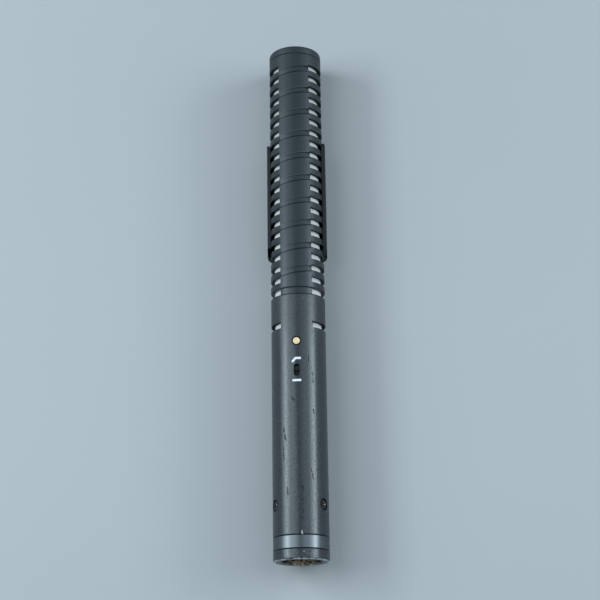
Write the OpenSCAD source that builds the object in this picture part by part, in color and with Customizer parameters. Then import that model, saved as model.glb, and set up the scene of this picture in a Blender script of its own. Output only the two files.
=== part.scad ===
// Short shotgun condenser microphone in its spring clip.
// The microphone lies along Y with its connector at -Y, its nose at +Y and its switch on top.
// The origin is on the resting plane, under the middle of the microphone.

/* [Microphone] */
// Overall length, connector rim to nose
mic_len = 217; // [214:1:235]
// Wall of the body tube and of the slotted tube
tube_wall = 1.6; // [1.4:0.1:2]
// Wall of the connector shell, between its socket and the body tube
shell_wall = 1.06; // [1:0.02:1.3]
// Length of the body tube's front end from the connector rim
joint_at = 105.8; // [104:0.2:108]
// Chamfer on the ends of tubes and rings
edge_chamfer = 0.2; // [0.1:0.05:0.3]
// Visible gap between neighbouring rings
ring_gap = 0.15; // [0.1:0.05:0.3]

/* [Slotted tube] */
// Sound slots along each side, counted back from the nose
slot_count = 20; // [10:1:20]
// Distance from one slot to the next
slot_pitch = 5; // [4.5:0.1:5]
// Width of a slot along the tube
slot_w = 2.6; // [2:0.1:2.8]
// Half width of the unslotted land on top and underneath
land_half_w = 6.3; // [5.5:0.1:7]
// Plain length between the nose and the first slot
nose_band = 8.5; // [8:0.1:10]
// Width of the shallow helical groove across the lands
groove_w = 2.6; // [2.5:0.05:2.8]
// Depth of the helical groove
groove_depth = 0.22; // [0.14:0.02:0.4]
// Distance from the joint to the first helical groove
groove_start = 5.8; // [5.7:0.05:5.9]
// Depth of the fine line scored along the groove's rear edge
score_depth = 0.5; // [0.3:0.05:0.7]
// Thickness of the acoustic cloth behind the slots
cloth_t = 0.3; // [0.2:0.05:0.4]

/* [Joint sleeve] */
// Depth of the ring groove between the two tubes
neck_depth = 0.6; // [0.4:0.1:0.8]
// Length of thread inside the body tube
neck_grip_rear = 4.3; // [3.5:0.1:5]
// Length of thread inside the slotted tube
neck_grip_front = 2; // [1.5:0.1:2.2]

/* [Nose] */
// Length of the nose cap
cap_len = 3.5; // [3.2:0.1:4]
// Radius of the rounded front edge
cap_edge_r = 1.2; // [0.8:0.1:2]
// Flat width between the rounded edge and the sound opening
cap_flat = 1.5; // [0.7:0.1:1.8]
// Length of the cap's spigot inside the slotted tube
cap_spigot = 3.2; // [2.5:0.1:3.5]
// Thickness of the grille
mesh_t = 0.6; // [0.4:0.1:0.8]
// Distance from one grille bar to the next
mesh_pitch = 1.5; // [1.4:0.1:2]
// Width of a grille bar
mesh_bar = 0.5; // [0.4:0.05:0.7]

/* [Connector end] */
// Length of the end collar
collar_len = 4; // [3.5:0.1:5]
// Length of the bare marker ring
marker_len = 5; // [4:0.1:6]
// Bore of the connector socket
socket_d = 16.6; // [16.2:0.1:17]
// Depth from the rim to the pin carrier
socket_depth = 16; // [15:0.5:17]
// Diameter of a contact pin
pin_d = 2.4; // [2.2:0.05:2.5]
// Distance of the pin tips behind the rim
pin_recess = 2.2; // [1.5:0.1:3]
// Distance of each pin from the axis
pin_circle_r = 5.6; // [5.4:0.1:5.8]
// Thickness of the pin carrier
carrier_t = 7; // [6.5:0.25:8]
// Place of the case screws from the rim
screw_at = 21.25; // [20.8:0.05:21.6]
// Angle of the two upper case screws from the top
screw_angle = 60; // [50:1:70]
// Diameter of a case screw's head
screw_head_d = 3.7; // [3.2:0.1:4]
// Diameter of a case screw's shank
screw_d = 2; // [1.6:0.1:2.2]

/* [Switch and marker] */
// Place of the switch from the rim
switch_at = 73.8; // [70:0.2:77]
// Length of the window for the switch
window_len = 5; // [4.8:0.1:5.6]
// Width of the window for the switch
window_w = 2.3; // [2.2:0.1:2.8]
// Travel of the switch knob
switch_travel = 1.8; // [1.6:0.1:1.8]
// Length of the switch knob
knob_len = 1.8; // [1.4:0.1:1.8]
// Width of the switch knob
knob_w = 1.6; // [1.2:0.1:1.7]
// Place of the brass marker pin from the rim
marker_pin_at = 85.8; // [84:0.2:87]
// Diameter of the brass marker pin
marker_pin_d = 3; // [2.5:0.1:3.4]

/* [Rear port and capsule] */
// Place of the rear sound slots from the rim
rear_slot_at = 93.1; // [92.4:0.1:93.4]
// Length of the capsule housing
capsule_len = 8.5; // [8.3:0.1:9]
// Width of the lip round the opening in front of the diaphragm
capsule_lip_w = 2.1; // [1.8:0.1:2.6]
// Wall of the capsule housing
capsule_wall = 0.75; // [0.6:0.05:0.9]
// Wall of the insulator round the backplate
insulator_wall = 1.13; // [1:0.01:1.3]
// Thickness of the backplate
backplate_t = 1.2; // [1:0.1:1.5]
// Diameter of a hole in the backplate
backplate_hole_d = 0.9; // [0.7:0.1:1]

/* [Circuit board] */
// Gap between the board's edge and the bore of the tube
board_gap = 0.9; // [0.6:0.1:1.4]
// Thickness of the circuit board
board_t = 1; // [0.8:0.1:1.6]
// Height of the board's upper face above the axis
board_top = 3; // [2.8:0.1:3.2]
// Width of the board's end tongues
tongue_w = 10; // [8:0.5:12]
// Thickness of the two bulkheads
bulkhead_t = 2; // [1.6:0.1:2.4]
// Place of the front bulkhead from the rim
front_bulkhead_at = 86.4; // [80:0.2:88]

/* [Clip] */
// Length of the clip
clip_len = 50; // [40:1:60]
// Place of the clip's rear end from the rim
clip_at = 124.5; // [112:0.5:130]
// Wall of the clip
clip_wall = 1.25; // [1.1:0.05:2]
// How far the lips reach above the middle of the tube, in degrees
clip_wrap = 10; // [4:1:20]
// Corner radius of the lips at the rear end
clip_rear_r = 4; // [2:0.5:6]
// Corner radius of the lips at the front end
clip_front_r = 1.2; // [0.6:0.2:3]
// Width of the flat foot under the clip
foot_w = 9; // [6:0.5:12]
// How far the foot stands below the round of the clip
foot_drop = 0.4; // [0.2:0.1:1]

/* [Hidden] */

$fn = 96;

// Clearances: a slip fit inside the microphone, a running fit of the clip, a small step
slip = 0.04;
running = 0.05;
// Overshoot of a cutting shape past the face it opens
past = 1;

// The tube is built outwards from the socket of the connector
shell_r = socket_d / 2 + shell_wall;
bore_r = shell_r + slip;
tube_r = bore_r + tube_wall;
tube_d = 2 * tube_r;
thread_r = tube_r - neck_depth;

// Stations along the microphone
marker_from = collar_len + ring_gap;
body_from = marker_from + marker_len + ring_gap;
neck_margin = 0.1;
slotted_from = joint_at + slot_w + neck_margin;
cap_from = mic_len - cap_len;
first_slot_front = mic_len - nose_band;
carrier_from = socket_depth;
carrier_to = carrier_from + carrier_t;
shell_rear_lip = 0.3;
shell_to = carrier_to + shell_rear_lip;
ground_t = 0.4;
rear_bulkhead_at = shell_to + ground_t + slip;
capsule_margin = 1.1;
capsule_from = rear_slot_at + slot_w / 2 + capsule_margin;
capsule_to = capsule_from + capsule_len;

clip_bore_r = tube_r + running;
clip_r = clip_bore_r + clip_wall;
axis_h = clip_r + foot_drop;

board_under = board_top - board_t;

// Local frame of the microphone: x is up, y is right and z runs from the rim to the nose
module along_mic() {
    translate([0, -mic_len / 2, axis_h]) rotate([-90, -90, 0]) children();
}

// A straight round wall from one station to another, with chamfered outer edges
module ring(outer, inner, from, to, chamfer = 0) {
    rotate_extrude() polygon([
        [inner, from], [outer - chamfer, from], [outer, from + chamfer],
        [outer, to - chamfer], [outer - chamfer, to], [inner, to]
    ]);
}

// A block through each side of the tube, clear of the lands, from one station to another
module side_blocks(from, to) {
    for (side = [-1, 1])
        translate([-tube_d, side > 0 ? land_half_w : -land_half_w - tube_d, from])
            cube([2 * tube_d, tube_d, to - from]);
}

// A pair of sound slots, one through each side, with its front edge at a station
module slot_pair(front) {
    side_blocks(front - slot_w, front);
}

// A hole or rod along a radius, turned from the top
module radial(angle, station, radius, from, to) {
    rotate([0, 0, angle]) translate([from, 0, station]) rotate([0, 90, 0])
        cylinder(r = radius, h = to - from, $fn = 48);
}

// A block given by its lowest and highest corners
module block(low, high) {
    translate(low) cube(high - low);
}

screw_angles = [-screw_angle, screw_angle, 180];
screw_seat_depth = 1;
screw_recess_margin = 0.25;
screw_seat_r = tube_r - screw_seat_depth;
screw_recess_r = screw_head_d / 2 + screw_recess_margin;

// ---- Connector end ----

rim_chamfer = 0.5;
mouth_bevel = 0.6;
// Groove for the latch of the mating connector
latch_at = 9;
latch_w = 1.6;
latch_r = socket_d / 2 + 0.5;

module connector_shell() {
    color([0.13, 0.14, 0.15]) along_mic() difference() {
        rotate_extrude() polygon([
            [socket_d / 2 + mouth_bevel, 0], [tube_r - rim_chamfer, 0], [tube_r, rim_chamfer],
            [tube_r, collar_len - edge_chamfer], [tube_r - edge_chamfer, collar_len],
            [shell_r, collar_len], [shell_r, shell_to], [socket_d / 2, shell_to],
            [socket_d / 2, latch_at + latch_w], [latch_r, latch_at + latch_w], [latch_r, latch_at],
            [socket_d / 2, latch_at], [socket_d / 2, mouth_bevel]
        ]);
        for (angle = screw_angles)
            radial(angle, screw_at, screw_d / 2, socket_d / 2 - past, shell_r + past);
    }
}

// Pins one and two lie level, just under the board; pin three is at the bottom
tail_d = 1;
pin_level = board_under - tail_d / 2;
pin_side = sqrt(pow(pin_circle_r, 2) - pow(pin_level, 2));
pin_places = [[pin_level, -pin_side], [pin_level, pin_side], [-pin_circle_r, 0]];
tail_reach = 3;
tail_to = rear_bulkhead_at + bulkhead_t + tail_reach;
insert_r = socket_d / 2 - slip;
key_w = 2;
key_depth = 1;
ground_land = 1.2;
ground_bore_r = socket_d / 2 - ground_land;

module xlr_insert() {
    color([0.2, 0.13, 0.09]) along_mic() difference() {
        translate([0, 0, carrier_from]) cylinder(r = insert_r, h = carrier_t);
        for (place = pin_places)
            translate([place[0], place[1], carrier_from - past])
                cylinder(d = pin_d + 2 * slip, h = carrier_t + 2 * past, $fn = 48);
        block([insert_r - key_depth, -key_w / 2, carrier_from - past],
              [insert_r + past, key_w / 2, carrier_to + past]);
    }
}

// A contact pin with a domed tip and a thin tail for soldering
module contact(tail_end) {
    dome_ratio = 0.8;
    rotate_extrude($fn = 48) polygon(concat(
        [[0, pin_recess]],
        [for (a = [15 : 15 : 90])
            [pin_d / 2 * sin(a), pin_recess + dome_ratio * pin_d / 2 * (1 - cos(a))]],
        [[pin_d / 2, carrier_to], [tail_d / 2, carrier_to], [tail_d / 2, tail_end], [0, tail_end]]
    ));
}

module xlr_pins() {
    color([0.83, 0.66, 0.32]) along_mic() {
        for (place = [pin_places[0], pin_places[1]])
            translate([place[0], place[1], 0]) contact(tail_to);
        translate([pin_places[2][0], 0, 0]) contact(tail_to);
        translate([pin_places[2][0], 0, tail_to - tail_d / 2]) rotate([0, 90, 0])
            cylinder(d = tail_d, h = board_under - pin_places[2][0], $fn = 48);
    }
}

module ground_ring() {
    tab_half_w = 0.6;
    color([0.8, 0.62, 0.3]) along_mic() {
        ring(shell_r, ground_bore_r, shell_to, shell_to + ground_t);
        block([pin_level - tab_half_w, -ground_bore_r - ground_t, shell_to],
              [pin_level + tab_half_w, -pin_side - tail_d / 2 - slip, shell_to + ground_t]);
    }
}

module marker_ring() {
    color([0.33, 0.36, 0.39]) along_mic()
        ring(tube_r, bore_r, marker_from, marker_from + marker_len, edge_chamfer);
}

screw_head_t = 0.7;
screw_socket_af = 1.3;
screw_socket_floor = 0.2;
screw_tip_margin = 0.1;

module body_screws() {
    color([0.25, 0.26, 0.27]) along_mic() for (angle = screw_angles)
        rotate([0, 0, angle]) translate([0, 0, screw_at]) rotate([0, 90, 0]) difference() {
            union() {
                translate([0, 0, screw_seat_r]) cylinder(d = screw_head_d, h = screw_head_t, $fn = 48);
                translate([0, 0, socket_d / 2 + screw_tip_margin])
                    cylinder(d = screw_d - 2 * slip, h = screw_seat_r - socket_d / 2, $fn = 48);
            }
            translate([0, 0, screw_seat_r + screw_socket_floor])
                cylinder(d = screw_socket_af / cos(30), h = past, $fn = 6);
        }
}

// ---- Body tube ----

module body_tube() {
    color([0.14, 0.15, 0.16]) along_mic() difference() {
        ring(tube_r, bore_r, body_from, joint_at, edge_chamfer);
        translate([0, 0, joint_at - neck_grip_rear])
            cylinder(r = thread_r + slip, h = neck_grip_rear + past);
        slot_pair(rear_slot_at + slot_w / 2);
        for (angle = screw_angles) {
            radial(angle, screw_at, screw_d / 2 + slip, bore_r - past, tube_r + past);
            radial(angle, screw_at, screw_recess_r, screw_seat_r, tube_r + past);
        }
        radial(0, marker_pin_at, marker_pin_d / 2 + slip, bore_r - past, tube_r + past);
        switch_window();
    }
}

// Round-ended window over the switch
module switch_window() {
    half = (window_len - window_w) / 2;
    for (end = [-half, half]) radial(0, switch_at + end, window_w / 2, bore_r - past, tube_r + past);
    block([bore_r - past, -window_w / 2, switch_at - half],
          [tube_r + past, window_w / 2, switch_at + half]);
}

module marker_pin() {
    dome = 0.15;
    color([0.85, 0.68, 0.35]) along_mic() rotate([0, 90, 0]) translate([-marker_pin_at, 0, 0])
        rotate_extrude($fn = 64) polygon([
            [0, bore_r], [marker_pin_d / 2, bore_r], [marker_pin_d / 2, tube_r - dome],
            [marker_pin_d / 2 - dome, tube_r], [0, tube_r]
        ]);
}

// ---- Switch ----

case_len = 8.6;
case_w = 4.6;
case_h = 3.4;
case_wall = 0.4;
case_slot_w = 2;
slider_base_len = 4.4;
slider_base_h = 1.4;
knob_recess = 1.1;
knob_top = tube_r - knob_recess;
knob_rest = switch_at + switch_travel / 2;
slider_gap = 0.15;
rib_w = 0.3;
rib_h = 0.2;
case_slot_margin = 0.4;
// The shutter under the tube wall closes the window at both ends of the travel
shutter_t = 0.4;
shutter_w = 4;
shutter_gap = 0.4;
shutter_margin = 0.4;
shutter_top = bore_r - shutter_gap;
shutter_half = (window_len + switch_travel) / 2 + shutter_margin;

module switch_case() {
    case_slot_half = (knob_len + switch_travel) / 2 + case_slot_margin;
    inner_half_w = case_w / 2 - case_wall;
    inner_half_len = case_len / 2 - case_wall;
    color([0.62, 0.64, 0.66]) along_mic() difference() {
        block([board_top, -case_w / 2, switch_at - case_len / 2],
              [board_top + case_h, case_w / 2, switch_at + case_len / 2]);
        block([board_top + case_wall, -inner_half_w, switch_at - inner_half_len],
              [board_top + case_h - case_wall, inner_half_w, switch_at + inner_half_len]);
        block([board_top + case_h / 2, -case_slot_w / 2, switch_at - case_slot_half],
              [board_top + case_h + past, case_slot_w / 2, switch_at + case_slot_half]);
    }
}

module switch_slider() {
    base_low = board_top + case_wall + slider_gap;
    base_half_w = case_w / 2 - case_wall - slider_gap;
    color([0.1, 0.12, 0.11]) along_mic() {
        block([base_low, -base_half_w, knob_rest - slider_base_len / 2],
              [base_low + slider_base_h, base_half_w, knob_rest + slider_base_len / 2]);
        block([base_low, -knob_w / 2, knob_rest - knob_len / 2],
              [knob_top, knob_w / 2, knob_rest + knob_len / 2]);
        block([shutter_top - shutter_t, -shutter_w / 2, knob_rest - shutter_half],
              [shutter_top, shutter_w / 2, knob_rest + shutter_half]);
        for (rib = [-1, 0, 1])
            block([knob_top, -knob_w / 2, knob_rest + rib * knob_len / 3 - rib_w / 2],
                  [knob_top + rib_h, knob_w / 2, knob_rest + rib * knob_len / 3 + rib_w / 2]);
    }
}

// ---- Circuit board and its bulkheads ----

board_from = rear_bulkhead_at + bulkhead_t;
board_to = front_bulkhead_at;
board_half_w = sqrt(pow(bore_r, 2) - pow(board_top, 2)) - board_gap;

module circuit_board() {
    color([0.08, 0.3, 0.18]) along_mic() {
        block([board_under, -board_half_w, board_from], [board_top, board_half_w, board_to]);
        block([board_under, -tongue_w / 2, rear_bulkhead_at + slip],
              [board_top, tongue_w / 2, front_bulkhead_at + bulkhead_t]);
    }
}

// A round plate with a slot for the board's tongue
module bulkhead(from) {
    difference() {
        translate([0, 0, from]) cylinder(r = bore_r - slip, h = bulkhead_t);
        block([board_under - slip, -tongue_w / 2 - slip, from - past],
              [board_top + slip, tongue_w / 2 + slip, from + bulkhead_t + past]);
        children();
    }
}

module rear_bulkhead() {
    color([0.1, 0.1, 0.11]) along_mic() bulkhead(rear_bulkhead_at)
        for (place = pin_places)
            translate([place[0], place[1], rear_bulkhead_at - past])
                cylinder(d = tail_d + 2 * slip, h = bulkhead_t + 2 * past, $fn = 48);
}

module front_bulkhead() {
    color([0.1, 0.1, 0.11]) along_mic() bulkhead(front_bulkhead_at)
        translate([0, 0, front_bulkhead_at - past])
            cylinder(d = contact_d + 2 * slip, h = bulkhead_t + 2 * past, $fn = 48);
}

can_d = 5;
can_h = 7;
can_bead = 0.2;
can_bead_at = 1.1;
can_bead_half = 0.3;
can_places = [34, 41, 48];

module electrolytic_capacitors() {
    color([0.12, 0.16, 0.3]) along_mic() for (station = can_places)
        translate([board_under, 0, station]) rotate([0, -90, 0]) rotate_extrude($fn = 64) polygon([
            [0, 0], [can_d / 2, 0], [can_d / 2, can_bead_at - can_bead_half],
            [can_d / 2 - can_bead, can_bead_at], [can_d / 2, can_bead_at + can_bead_half],
            [can_d / 2, can_h - can_bead], [can_d / 2 - can_bead, can_h], [0, can_h]
        ]);
}

film_w = 7.2;
film_t = 2.5;
film_h = 6;
film_places = [55, 59.5, 64, 68.5];

module film_capacitors() {
    color([0.75, 0.2, 0.15]) along_mic() for (station = film_places)
        block([board_under - film_h, -film_w / 2, station - film_t / 2],
              [board_under, film_w / 2, station + film_t / 2]);
}

transistor_r = 2.3;
transistor_h = 4.2;
transistor_flat = 1.2;
transistor_places = [44, 52, 60];

module transistors() {
    color([0.06, 0.06, 0.07]) along_mic() for (station = transistor_places)
        translate([board_top, 0, station]) rotate([0, 90, 0]) difference() {
            cylinder(r = transistor_r, h = transistor_h, $fn = 48);
            translate([transistor_flat, -transistor_r, -past])
                cube([transistor_r, 2 * transistor_r, transistor_h + 2 * past]);
        }
}

resistor_d = 1.8;
resistor_len = 4.6;
resistor_lead = 0.5;
resistor_lift = 0.2;
resistor_reach = 0.9;
resistor_places = [30, 33.5, 37, 40.5];

// A resistor body across the board with a leg at each end
module resistor() {
    lift = resistor_d / 2 + resistor_lift;
    span = resistor_len / 2 + resistor_reach;
    translate([lift, -resistor_len / 2, 0]) rotate([-90, 0, 0])
        cylinder(d = resistor_d, h = resistor_len, $fn = 48);
    for (side = [-1, 1]) {
        translate([lift, side > 0 ? 0 : -span, 0]) rotate([-90, 0, 0])
            cylinder(d = resistor_lead, h = span, $fn = 32);
        translate([0, side * span, 0]) rotate([0, 90, 0])
            cylinder(d = resistor_lead, h = lift + resistor_lead / 2, $fn = 32);
    }
}

module resistors() {
    color([0.78, 0.66, 0.48]) along_mic() for (station = resistor_places)
        translate([board_top, 0, station]) resistor();
}

// ---- Rear port and capsule ----

module rear_cloth() {
    color([0.86, 0.86, 0.78]) along_mic()
        ring(bore_r - slip, bore_r - slip - cloth_t,
             front_bulkhead_at + bulkhead_t + slip, capsule_from - slip);
}

capsule_r = bore_r - slip;
capsule_bore_r = capsule_r - capsule_wall;
stack_r = capsule_bore_r - slip;
capsule_mouth_r = capsule_bore_r - capsule_lip_w;
backplate_r = stack_r - slip - insulator_wall;
lip_t = 1;
film_frame_t = 0.8;
diaphragm_t = 0.2;
spacer_t = 0.2;
insulator_depth = 2.2;
// Air space behind the backplate, with a ledge round it that carries the plate
air_depth = 0.2;
ledge_w = 1;
vent_d = 1.8;
vent_r = 4;
clamp_t = 1.3;
clamp_w = 2.6;
clamp_notch_depth = 1.4;
clamp_notch_h = 0.7;
spacer_overlap = 0.3;
stack_front = capsule_to - lip_t;
diaphragm_at = stack_front - film_frame_t - diaphragm_t;
spacer_at = diaphragm_at - spacer_t;
backplate_at = spacer_at - backplate_t;
insulator_at = spacer_at - insulator_depth;
clamp_at = insulator_at - clamp_t;
contact_d = 1.6;

module capsule_housing() {
    color([0.72, 0.7, 0.62]) along_mic() rotate_extrude() polygon([
        [capsule_bore_r, capsule_from], [capsule_r, capsule_from], [capsule_r, capsule_to - edge_chamfer],
        [capsule_r - edge_chamfer, capsule_to], [capsule_mouth_r + lip_t / 2, capsule_to],
        [capsule_mouth_r, stack_front + lip_t / 2], [capsule_mouth_r, stack_front],
        [capsule_bore_r, stack_front]
    ]);
}

module diaphragm_ring() {
    color([0.83, 0.67, 0.35]) along_mic()
        ring(stack_r, capsule_mouth_r, stack_front - film_frame_t, stack_front);
}

module diaphragm() {
    color([0.88, 0.78, 0.5]) along_mic() translate([0, 0, diaphragm_at])
        cylinder(r = stack_r, h = diaphragm_t);
}

module spacer_ring() {
    color([0.9, 0.9, 0.86]) along_mic()
        ring(stack_r, backplate_r - spacer_overlap, spacer_at, diaphragm_at);
}

module backplate() {
    color([0.83, 0.67, 0.35]) along_mic() difference() {
        translate([0, 0, backplate_at]) cylinder(r = backplate_r, h = backplate_t);
        for (row = [1 : 3], i = [0 : 6 * row - 1])
            rotate([0, 0, i * 60 / row]) translate([row * backplate_r / 4, 0, backplate_at - past])
                cylinder(d = backplate_hole_d, h = backplate_t + 2 * past, $fn = 24);
    }
}

module capsule_insulator() {
    color([0.9, 0.88, 0.8]) along_mic() difference() {
        translate([0, 0, insulator_at]) cylinder(r = stack_r, h = insulator_depth);
        translate([0, 0, backplate_at]) cylinder(r = backplate_r + slip, h = backplate_t + past);
        translate([0, 0, backplate_at - air_depth])
            cylinder(r = backplate_r - ledge_w, h = air_depth + past);
        translate([0, 0, insulator_at - past])
            cylinder(d = contact_d + 2 * slip, h = insulator_depth + 2 * past, $fn = 48);
        for (i = [0 : 5]) rotate([0, 0, i * 60]) translate([vent_r, 0, insulator_at - past])
            cylinder(d = vent_d, h = insulator_depth + 2 * past, $fn = 32);
    }
}

module clamp_ring() {
    notch_w = 1.4;
    color([0.7, 0.68, 0.6]) along_mic() difference() {
        ring(stack_r, stack_r - clamp_w, clamp_at, insulator_at);
        for (turn = [0, 180]) rotate([0, 0, turn])
            block([stack_r - clamp_notch_depth, -notch_w / 2, clamp_at - past],
                  [stack_r + past, notch_w / 2, clamp_at + clamp_notch_h]);
    }
}

module contact_pin() {
    pin_from = front_bulkhead_at - bulkhead_t;
    color([0.83, 0.66, 0.32]) along_mic() {
        translate([0, 0, pin_from]) cylinder(d = contact_d, h = backplate_at - pin_from, $fn = 48);
        translate([0, 0, pin_from + contact_d / 2]) rotate([0, 90, 0])
            cylinder(d = contact_d, h = board_under, $fn = 48);
    }
}

// ---- Joint and slotted tube ----

module joint_sleeve() {
    color([0.11, 0.12, 0.13]) along_mic() difference() {
        ring(thread_r, bore_r, joint_at - neck_grip_rear + slip, slotted_from + neck_grip_front - slip);
        slot_pair(slotted_from);
    }
}

// The ribs between the slots stand a hair below the lands
rib_relief = 0.03;
last_slot_front = first_slot_front - (slot_count - 1) * slot_pitch;
helix_lead = 2 * slot_pitch;
helix_tilt = atan(helix_lead / (PI * tube_d));
top_grooves = floor((first_slot_front - slotted_from - groove_start) / helix_lead) + 1;

score_w = 0.25;

// One pass of the helical groove across a land, cut by two washers tilted to the helix angle
module groove_pass(station) {
    intersection() {
        translate([0, 0, station]) rotate([helix_tilt, 0, 0]) {
            ring(tube_r + 2, tube_r - groove_depth, 0, groove_w);
            ring(tube_r + 2, tube_r - score_depth, 0, score_w);
        }
        translate([0, -land_half_w, station - helix_lead / 2])
            cube([tube_d, 2 * land_half_w, 2 * helix_lead]);
    }
}

module slotted_tube() {
    color([0.12, 0.13, 0.14]) along_mic() difference() {
        ring(tube_r, bore_r, slotted_from, cap_from - ring_gap, edge_chamfer);
        translate([0, 0, slotted_from - past]) cylinder(r = thread_r + slip, h = neck_grip_front + past);
        translate([0, 0, cap_from - cap_spigot - slip])
            cylinder(r = thread_r + slip, h = cap_spigot + past);
        for (i = [0 : slot_count - 1]) slot_pair(first_slot_front - i * slot_pitch);
        intersection() {
            ring(tube_r + past, tube_r - rib_relief,
                 last_slot_front - slot_w / 2, first_slot_front - slot_w / 2);
            side_blocks(slotted_from, cap_from);
        }
        for (i = [0 : top_grooves - 1]) groove_pass(slotted_from + groove_start + i * helix_lead);
        for (i = [0 : top_grooves - 2]) rotate([0, 0, 180])
            groove_pass(slotted_from + groove_start + (i + 0.5) * helix_lead);
    }
}

module acoustic_cloth() {
    color([0.88, 0.88, 0.8]) along_mic()
        ring(bore_r - slip, bore_r - slip - cloth_t, capsule_to + slip, retainer_at - slip);
}

// ---- Nose ----

mesh_recess = 0.9;
mouth_chamfer = 0.2;
retainer_w = 1.2;
mesh_to = mic_len - mesh_recess;
mesh_at = mesh_to - mesh_t;
nose_cloth_at = mesh_at - cloth_t;
retainer_t = 1.2;
retainer_at = nose_cloth_at - retainer_t;
disc_r = bore_r - slip;
// Centre of the rounded edge and radius of the sound opening
center_r = tube_r - cap_edge_r;
mouth_r = center_r - cap_flat;

module nose_cap() {
    center_s = mic_len - cap_edge_r;
    color([0.12, 0.13, 0.14]) along_mic() rotate_extrude() polygon(concat(
        [[bore_r, cap_from - cap_spigot], [thread_r, cap_from - cap_spigot], [thread_r, cap_from],
         [tube_r - edge_chamfer, cap_from], [tube_r, cap_from + edge_chamfer]],
        [for (a = [0 : 10 : 90]) [center_r + cap_edge_r * cos(a), center_s + cap_edge_r * sin(a)]],
        [[mouth_r + mouth_chamfer, mic_len], [mouth_r, mic_len - mouth_chamfer],
         [mouth_r, mesh_to], [bore_r, mesh_to]]
    ));
}

module nose_grille() {
    holes = ceil(disc_r / mesh_pitch);
    hole = mesh_pitch - mesh_bar;
    color([0.2, 0.21, 0.22]) along_mic() translate([0, 0, mesh_at]) linear_extrude(mesh_t) difference() {
        circle(r = disc_r);
        for (i = [-holes : holes], j = [-holes : holes])
            if (norm([i, j]) * mesh_pitch + hole / sqrt(2) < mouth_r)
                translate([i * mesh_pitch, j * mesh_pitch]) square(hole, center = true);
    }
}

module nose_cloth() {
    color([0.1, 0.1, 0.1]) along_mic() translate([0, 0, nose_cloth_at]) cylinder(r = disc_r, h = cloth_t);
}

module retaining_ring() {
    gap_w = 3;
    color([0.55, 0.56, 0.58]) along_mic() difference() {
        ring(disc_r, disc_r - retainer_w, retainer_at, nose_cloth_at);
        block([-tube_r, -gap_w / 2, retainer_at - past], [0, gap_w / 2, nose_cloth_at + past]);
    }
}

// ---- Clip ----

lip_h = clip_r * sin(clip_wrap);
foot_margin = 4;

// Side outline of the clip with rounded lip corners, from its rear end
module clip_outline() {
    difference() {
        translate([-axis_h, 0]) square([lip_h + axis_h, clip_len]);
        translate([lip_h - clip_rear_r, 0]) difference() {
            square(clip_rear_r);
            translate([0, clip_rear_r]) circle(r = clip_rear_r);
        }
        translate([lip_h - clip_front_r, clip_len - clip_front_r]) difference() {
            square(clip_front_r);
            circle(r = clip_front_r);
        }
    }
}

module snap_clip() {
    color([0.07, 0.075, 0.08]) along_mic() translate([0, 0, clip_at]) intersection() {
        difference() {
            union() {
                cylinder(r = clip_r, h = clip_len);
                block([-axis_h, -foot_w / 2, foot_margin],
                      [-tube_r - clip_wall / 2, foot_w / 2, clip_len - foot_margin]);
            }
            translate([0, 0, -past]) cylinder(r = clip_bore_r, h = clip_len + 2 * past);
        }
        translate([0, clip_r + past, 0]) rotate([90, 0, 0]) linear_extrude(2 * (clip_r + past))
            clip_outline();
    }
}

connector_shell();
xlr_insert();
xlr_pins();
ground_ring();
marker_ring();
body_screws();
body_tube();
marker_pin();
switch_case();
switch_slider();
circuit_board();
rear_bulkhead();
front_bulkhead();
electrolytic_capacitors();
film_capacitors();
transistors();
resistors();
rear_cloth();
capsule_housing();
diaphragm_ring();
diaphragm();
spacer_ring();
backplate();
capsule_insulator();
clamp_ring();
contact_pin();
joint_sleeve();
slotted_tube();
acoustic_cloth();
nose_cap();
nose_grille();
nose_cloth();
retaining_ring();
snap_clip();
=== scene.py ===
"""Looks of a short shotgun microphone lying in its spring clip, built around its solids.

Lengths are in millimetres in the finishes and their settings, and in metres in the meshes and
the stage. Along the microphone, a station is the distance in front of the connector's rim. Round
it, an angle is measured from the top towards +X, and an arc is that angle times the tube's radius.
"""

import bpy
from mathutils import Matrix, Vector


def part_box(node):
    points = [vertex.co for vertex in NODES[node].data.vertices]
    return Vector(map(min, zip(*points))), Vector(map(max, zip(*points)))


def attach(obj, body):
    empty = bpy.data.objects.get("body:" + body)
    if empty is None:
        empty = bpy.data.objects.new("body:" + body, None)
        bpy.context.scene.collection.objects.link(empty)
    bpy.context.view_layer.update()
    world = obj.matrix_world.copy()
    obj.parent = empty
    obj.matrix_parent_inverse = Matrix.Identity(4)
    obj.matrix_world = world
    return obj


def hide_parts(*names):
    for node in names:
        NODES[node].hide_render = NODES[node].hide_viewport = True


bl_info = {
    "name": "Short Shotgun Microphone",
    "version": (1, 0, 0),
    "blender": (4, 5, 0),
    "location": "View3D > Sidebar > Microphone",
    "description": "Finishes and fine parts of a short shotgun microphone in a spring clip",
    "category": "Object",
}

import math

import bmesh
import bpy
import numpy as np
from bpy.props import FloatProperty, FloatVectorProperty, IntProperty, PointerProperty
from mathutils import Matrix, Vector

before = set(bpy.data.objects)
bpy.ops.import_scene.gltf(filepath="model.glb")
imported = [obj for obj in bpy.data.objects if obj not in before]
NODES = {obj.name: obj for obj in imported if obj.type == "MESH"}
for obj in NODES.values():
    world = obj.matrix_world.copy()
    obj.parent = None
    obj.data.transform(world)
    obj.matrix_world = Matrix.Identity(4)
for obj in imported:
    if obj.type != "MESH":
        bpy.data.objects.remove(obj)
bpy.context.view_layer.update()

MM = 0.001

SHELL_LOW, SHELL_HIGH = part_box("connector_shell")
RIM_Y = SHELL_LOW.y
AXIS_Z = (SHELL_LOW.z + SHELL_HIGH.z) / 2
TUBE_R = (SHELL_HIGH.x - SHELL_LOW.x) / 2 / MM


def station_of(y):
    """Station in millimetres of a place on the Y axis."""
    return (y - RIM_Y) / MM


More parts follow.
